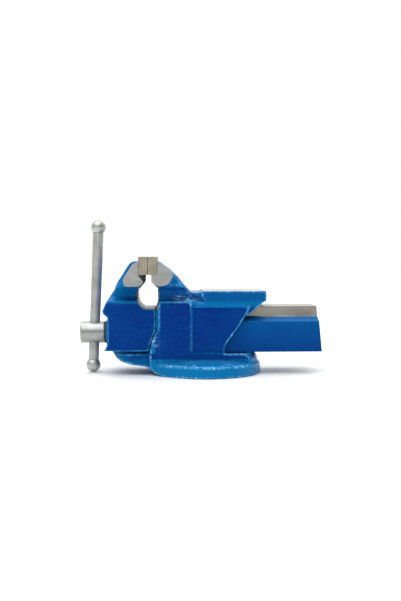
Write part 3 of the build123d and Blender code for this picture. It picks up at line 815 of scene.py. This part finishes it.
def jaw_plate(node, body, facing):
    """Hardened plate with a diamond-cut gripping face and two countersunk holes."""
    low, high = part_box(node)
    face_x = high.x if facing > 0 else low.x
    back_x = low.x if facing > 0 else high.x
    length, height = high.y - low.y, high.z - low.z
    columns, rows = 40, 8
    depth = 0.35 * MM
    border = 0.6 * MM
    flat = 0.16  # half width of a diamond's flat tip, as a share of its spacing
    made = bmesh.new()
    step_y = (length - 2 * border) / columns
    step_z = (height - 2 * border) / rows
    corner = {}
    for i in range(columns + 1):
        for j in range(rows + 1):
            y, z = low.y + border + i * step_y, low.z + border + j * step_z
            corner[i, j] = made.verts.new((face_x - facing * depth, y, z))
    for i in range(columns):
        for j in range(rows):
            y, z = low.y + border + (i + 0.5) * step_y, low.z + border + (j + 0.5) * step_z
            tips = [made.verts.new((face_x, y + a * flat * step_y, z + b * flat * step_z))
                    for a, b in ((-1, -1), (1, -1), (1, 1), (-1, 1))]
            around = [corner[i, j], corner[i + 1, j], corner[i + 1, j + 1], corner[i, j + 1]]
            for k in range(4):
                n = (k + 1) % 4
                made.faces.new((around[k], around[n], tips[n], tips[k]))
            made.faces.new(tips)
    rim = ([corner[i, 0] for i in range(columns)] + [corner[columns, j] for j in range(rows)]
           + [corner[i, rows] for i in range(columns, 0, -1)] + [corner[0, j] for j in range(rows, 0, -1)])

    def stretch(vert, x, margin):
        """Point of a later ring beyond one of the rim, margin inside the plate's outline."""
        y = low.y + margin + (vert.co.y - low.y - border) * (length - 2 * margin) / (length - 2 * border)
        z = low.z + margin + (vert.co.z - low.z - border) * (height - 2 * margin) / (height - 2 * border)
        return made.verts.new((x, y, z))

    rings = [rim]
    for x, margin in ((face_x - facing * 0.05 * MM, 0.35 * MM), (face_x - facing * 0.20 * MM, 0.0),
                      (back_x + facing * 0.5 * MM, 0.0), (back_x, 0.5 * MM)):
        rings.append([stretch(vert, x, margin) for vert in rim])
    for first, second in zip(rings, rings[1:]):
        for i in range(len(rim)):
            j = (i + 1) % len(rim)
            made.faces.new((first[i], first[j], second[j], second[i]))
    made.faces.new(rings[-1])
    mesh = mesh_from(made, node)
    screws_low, screws_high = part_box(node.replace("_plate", "_screws"))
    head = (screws_high.z - screws_low.z) / 2
    seat = head + 0.45 * MM  # radius of the countersink in the plate's face
    shank = 3.25 * MM
    out, through = -1 * MM, 12 * MM
    profile = [(out, 0), (out, seat - out), (seat - shank, shank), (through, shank), (through, 0)]
    cutters = []
    for side in (-1, 1):
        place = (face_x, side * (screws_high.y - head), (screws_low.z + screws_high.z) / 2)
        cutters.append(mesh_from(lathe(profile, axis_frame(place, (-facing, 0, 0))), "countersink"))
    piece = add_object(node + "_cut", subtract(mesh, cutters), body, PLATE_STEEL)
    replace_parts(piece, node)


def add_thread(made, place, start, end, root, tip, steps):
    """Adds a right-hand trapezoidal thread round the X axis of a matrix, between two places."""
    lead = 5.0 * MM
    flank = 0.16  # share of the lead that one sloping flank takes
    phases = (0.0, 0.17, 0.33, 0.5, 0.67, 0.83)  # where the points lie along one turn of the profile

    def thread_radius(x, phase):
        """Radius of the thread at a place, phase being how far round its profile it is, from 0 to 1."""
        level = min(max((abs(phase - 0.5) - 0.25 + flank / 2) / flank, 0), 1)
        cut = (SHAFT - root) * level
        run_out = min(max((x - start) / (1.6 * lead), 0), 1)
        limit = tip + max(end - x, 0) * 1.2
        return min(SHAFT - 0.05 * MM - cut * run_out if run_out else SHAFT, limit)

    turns = int((end - start) / lead) + 4
    grid = []
    for i in range(steps):
        turn = 2 * pi * i / steps
        column = []
        for k in range(-2, turns):
            for phase in phases:
                x = min(max(start + lead * (k + phase + i / steps), start), end)
                radius = thread_radius(x, phase)
                column.append(made.verts.new(place @ Vector((x, radius * cos(turn), radius * sin(turn)))))
        grid.append(column)
    for i in range(steps):
        shift = len(phases) if i == steps - 1 else 0
        first, second = grid[i], grid[(i + 1) % steps]
        for j in range(len(first) - 1 - shift):
            made.faces.new((first[j], first[j + 1], second[j + 1 + shift], second[j + shift]))


def spindle():
    """Lead screw: head with its cross hole, journal and right-hand trapezoidal thread."""
    head_radius = (SPINDLE_HIGH.z - SPINDLE_LOW.z) / 2
    start, end = SPINDLE_LOW.x, SPINDLE_HIGH.x
    head_rear = WASHER_LOW.x - 0.1 * MM
    thread_start, thread_end = -72.0 * MM, end - 2.0 * MM
    root = 6.6 * MM
    tip = root - 0.4 * MM
    steps = 48
    place = Matrix.Translation((0, 0, AXIS_HEIGHT))
    bead = 1.7 * MM  # rounding of the head's front edge
    profile = [(start, 0), (start, head_radius - bead - 3.0 * MM)]
    for turn in range(0, 91, 15):
        across, out = bead * cos(radians(turn)), bead * sin(radians(turn))
        profile.append((start + bead - across, head_radius - bead + out))
    profile += [(head_rear - bead * 0.6, head_radius), (head_rear - 0.3 * MM, head_radius - 0.3 * MM),
                (head_rear, head_radius - 0.9 * MM), (head_rear, SHAFT + 0.6 * MM),
                (head_rear + 0.6 * MM, SHAFT), (thread_start, SHAFT)]
    made = lathe(profile, place, steps)
    add_thread(made, place, thread_start, thread_end, root, tip, steps)
    lathe([(thread_end, tip), (end - 0.8 * MM, tip), (end, tip - 0.8 * MM), (end, 0)], place, steps, made)
    bmesh.ops.remove_doubles(made, verts=made.verts, dist=JOIN)
    bmesh.ops.dissolve_degenerate(made, edges=made.edges, dist=CUT)
    loose = [edge for edge in made.edges if not edge.link_faces]
    bmesh.ops.delete(made, geom=loose, context="EDGES")
    mesh = mesh_from(made, "spindle")

    hole = ROD_HIGH.y + 0.7 * MM
    reach, flare = 20 * MM, 8 * MM  # the cross hole opens in a small cone at both of its ends
    rim = head_radius - 0.8 * MM
    bar_hole = lathe([(-reach, 0), (-reach, hole + flare), (-rim, hole), (rim, hole), (reach, hole + flare),
                      (reach, 0)], axis_frame(Vector((HANDLE_X, 0, AXIS_HEIGHT)), HANDLE_AXIS), 48)
    pin_low, pin_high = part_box("split_pin")
    pin_place = Vector(((pin_low.x + pin_high.x) / 2, 0, AXIS_HEIGHT))
    pin_radius, beyond = 2.0 * MM, 15 * MM
    pin_hole = lathe([(-beyond, 0), (-beyond, pin_radius), (beyond, pin_radius), (beyond, 0)],
                     axis_frame(pin_place, (0, 1, 0)), 32)
    cut = subtract(mesh, [mesh_from(bar_hole, "bar_hole"), mesh_from(pin_hole, "pin_hole")])
    piece = add_object("lead_screw", cut, "screw", HEAD_STEEL)
    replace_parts(piece, "spindle")


def ball_knob(name, node, centre, direction, flat):
    """Ball knob with a socket for the bar; flat is the reach of its outer end, as a share of its radius."""
    knob, rod = UPPER_KNOB_HIGH.y, ROD_HIGH.y
    neck = sqrt(knob**2 - rod**2)
    socket = 4.05 * MM
    bottom = neck - 3.3 * MM
    profile = [(-knob * flat, 0)]
    first, last = acos(-flat), radians(46)
    steps = 24
    for i in range(steps + 1):
        turn = first + (last - first) * i / steps
        if i or flat < 1:
            profile.append((knob * cos(turn), knob * sin(turn)))
    collar = neck + 0.3 * MM
    profile += [(collar, rod + 0.25 * MM), (collar, socket), (bottom, socket), (bottom, 0)]
    mesh = mesh_from(lathe(profile, axis_frame(centre, direction), 56), name)
    piece = add_object(name, mesh, "handle", BALL_STEEL)
    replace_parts(piece, node)


def handle():
    """Loose tommy bar with a ball knob pressed on each end."""
    axis = HANDLE_AXIS
    knob, rod = UPPER_KNOB_HIGH.y, ROD_HIGH.y
    lower = Vector(((LOWER_KNOB_LOW.x + LOWER_KNOB_HIGH.x) / 2, 0, LOWER_KNOB_LOW.z + knob))
    upper = Vector(((UPPER_KNOB_LOW.x + UPPER_KNOB_HIGH.x) / 2, 0, UPPER_KNOB_HIGH.z - knob))
    neck = sqrt(knob**2 - rod**2)
    far_neck = (upper - lower).dot(axis) - neck
    peg, peg_length, bevel = 4 * MM, 3 * MM, 0.5 * MM
    profile = [(neck - peg_length, 0), (neck - peg_length, peg), (neck, peg), (neck, rod - bevel),
               (neck + bevel, rod), (far_neck - bevel, rod), (far_neck, rod - bevel),
               (far_neck, peg), (far_neck + peg_length, peg), (far_neck + peg_length, 0)]
    bar = mesh_from(lathe(profile, axis_frame(lower, axis), 56), "tommy_bar")
    piece = add_object("tommy_bar", bar, "handle", BAR_STEEL)
    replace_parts(piece, "handle_rod")
    ball_knob("upper_ball", "upper_knob", upper, -axis, 1.0)
    ball_knob("lower_ball", "lower_knob", lower, axis, 0.94)


def washer(node, name, body, material, bevel):
    """Turned washer with rounded edges, in place of a plain ring."""
    low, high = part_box(node)
    outer = (high.z - low.z) / 2
    profile = [(low.x, SHAFT_HOLE), (low.x, outer - bevel), (low.x + 0.3 * bevel, outer - 0.3 * bevel),
               (low.x + bevel, outer), (high.x - bevel, outer), (high.x - 0.3 * bevel, outer - 0.3 * bevel),
               (high.x, outer - bevel), (high.x, SHAFT_HOLE)]
    made = lathe(profile, Matrix.Translation((0, 0, AXIS_HEIGHT)))
    rims = [edge for edge in made.edges if edge.is_boundary]
    bmesh.ops.bridge_loops(made, edges=rims)
    piece = add_object(name, mesh_from(made, name), body, material)
    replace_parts(piece, node)


# ---- build everything ------------------------------------------------------------------------

ENAMEL = enamel()
SHADED_RAW_IRON = shaded_raw_iron()
GROUND_IRON = ground_iron("ground_iron", rgb(0.37, 0.38, 0.36), rgb(0.49, 0.50, 0.49), rgb(0.24, 0.24, 0.23))
GUIDE_IRON = ground_iron("guide_iron", rgb(0.27, 0.26, 0.22), rgb(0.38, 0.37, 0.33), rgb(0.16, 0.15, 0.12))
PLATE_STEEL = plate_steel()
HEAD_STEEL = turned_steel("head_steel", (1, 0.04, 0.04), 0.8,
                          (rgb(0.33, 0.34, 0.33), rgb(0.46, 0.47, 0.46)), (0.32, 0.46))
BAR_STEEL = turned_steel("bar_steel", (0.04, 0.04, 1), 0.65,
                         (rgb(0.36, 0.36, 0.35), rgb(0.49, 0.49, 0.47)), (0.42, 0.56))
BALL_STEEL = turned_steel("ball_steel", (0.2, 0.2, 1), 0.8,
                          (rgb(0.39, 0.40, 0.39), rgb(0.53, 0.54, 0.52)), (0.38, 0.50))
DARK_STEEL = dark_steel()
SPRING_STEEL = spring_steel()
NUT_IRON = nut_iron()
CASTING = [ENAMEL, GROUND_IRON, SHADED_RAW_IRON]  # in the order of the castings' slots


def dress(nodes, material):
    """Gives one material to CAD nodes that are kept as they are."""
    for node in nodes:
        mesh = frame["nodes"][node].data
        mesh.materials.clear()
        mesh.materials.append(material)


def build():
    """Makes every visible piece."""
    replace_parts(fixed_casting(), "fixed_body")
    for piece in (moving_casting(), slide_bar()):
        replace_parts(piece, "moving_jaw")
    jaw_plate("fixed_jaw_plate", "vise_body", -1)
    jaw_plate("moving_jaw_plate", "sliding_jaw", 1)
    spindle()
    handle()
    washer("thrust_washer", "thrust_ring", "sliding_jaw", DARK_STEEL, 0.3 * MM)
    washer("front_spring_seat", "front_seat_ring", "sliding_jaw", SPRING_STEEL, 0.25 * MM)
    washer("rear_spring_seat", "rear_seat_ring", "sliding_jaw", SPRING_STEEL, 0.25 * MM)
    dress(("fixed_jaw_screws", "moving_jaw_screws", "nut_bolt", "nut_lock_washer"), DARK_STEEL)
    dress(("nut_dowels", "return_spring", "split_pin"), SPRING_STEEL)
    dress(("spindle_nut",), NUT_IRON)


build()

# ---- floor, light and camera -------------------------------------------------------------------


def pale_floor():
    """Large plain floor under the vise."""
    made = bmesh.new()
    bmesh.ops.create_grid(made, x_segments=2, y_segments=2, size=6.0)
    mesh = bpy.data.meshes.new("floor")
    made.to_mesh(mesh)
    made.free()
    s = Shader("pale_floor")
    s.set(Base_Color=s.mix(s.noise(3, 3), rgb(0.84, 0.84, 0.83), rgb(0.87, 0.87, 0.86)), Roughness=0.7)
    mesh.materials.append(s.material)
    add_to_scene("floor", mesh)


def soft_box(name, place, aim, size, power):
    """Wide area light, pointed at a place."""
    light = bpy.data.lights.new(name, "AREA")
    light.shape = "RECTANGLE"
    light.size, light.size_y = size
    light.energy = power
    lamp = add_to_scene(name, light)
    lamp.location = place
    lamp.rotation_euler = (Vector(aim) - Vector(place)).to_track_quat("-Z", "Y").to_euler()


def overhead_light():
    """Broad even light from above."""
    light = bpy.data.lights.new("sky_light", "SUN")
    light.energy = 3.2
    light.angle = radians(75)
    add_to_scene("sky_light", light).rotation_euler = (radians(12), radians(-8), 0)


def studio_world():
    """White backdrop that lights the vise more from behind it than from the camera's side."""
    world = bpy.data.worlds.new("studio")
    bpy.context.scene.world = world
    world.use_nodes = True
    tree = world.node_tree
    tree.nodes.clear()

    backdrop = tree.nodes.new("ShaderNodeBackground")
    backdrop.inputs["Color"].default_value = rgb(1.0, 1.0, 1.0)
    backdrop.inputs["Strength"].default_value = 1.0
    room = tree.nodes.new("ShaderNodeBackground")
    room.inputs["Color"].default_value = rgb(0.99, 1.0, 1.0)

    direction = tree.nodes.new("ShaderNodeTexCoord")
    parts = tree.nodes.new("ShaderNodeSeparateXYZ")
    strength = tree.nodes.new("ShaderNodeMapRange")
    for socket, number in (("From Min", -0.4), ("From Max", 0.6), ("To Min", 0.16), ("To Max", 0.95)):
        strength.inputs[socket].default_value = number
    rays = tree.nodes.new("ShaderNodeLightPath")
    chooser = tree.nodes.new("ShaderNodeMixShader")
    output = tree.nodes.new("ShaderNodeOutputWorld")
    for source, target in ((direction.outputs["Generated"], parts.inputs[0]),
                           (parts.outputs["Y"], strength.inputs["Value"]),
                           (strength.outputs["Result"], room.inputs["Strength"]),
                           (rays.outputs["Is Camera Ray"], chooser.inputs[0]),
                           (room.outputs[0], chooser.inputs[1]),
                           (backdrop.outputs[0], chooser.inputs[2]),
                           (chooser.outputs[0], output.inputs["Surface"])):
        tree.links.new(source, target)
    bpy.context.scene.view_settings.view_transform = "Standard"


def side_camera():
    """Camera level with the jaws, looking at the side of the vise and a little down."""
    aim = Vector((-0.0067, 0, 0.0818))
    distance, height, turn = 0.90, 0.134, radians(-2.4)
    data = bpy.data.cameras.new("camera")
    data.lens = 47.0
    data.sensor_width = 36
    camera = add_to_scene("camera", data)
    back = Vector((sin(turn), -cos(turn), 0)) * distance
    camera.location = Vector((aim.x, aim.y, height)) + back
    camera.rotation_euler = (aim - camera.location).to_track_quat("-Z", "Y").to_euler()
    bpy.context.scene.camera = camera


pale_floor()
overhead_light()
middle = (Vector(cad_box[0]) + Vector(cad_box[1])) / 2
soft_box("front_light", (-0.5, -1.5, 1.1), middle, (1.2, 0.7), 4)
soft_box("back_light", (0.5, 1.5, 1.1), middle, (1.2, 0.7), 5)
studio_world()
side_camera()
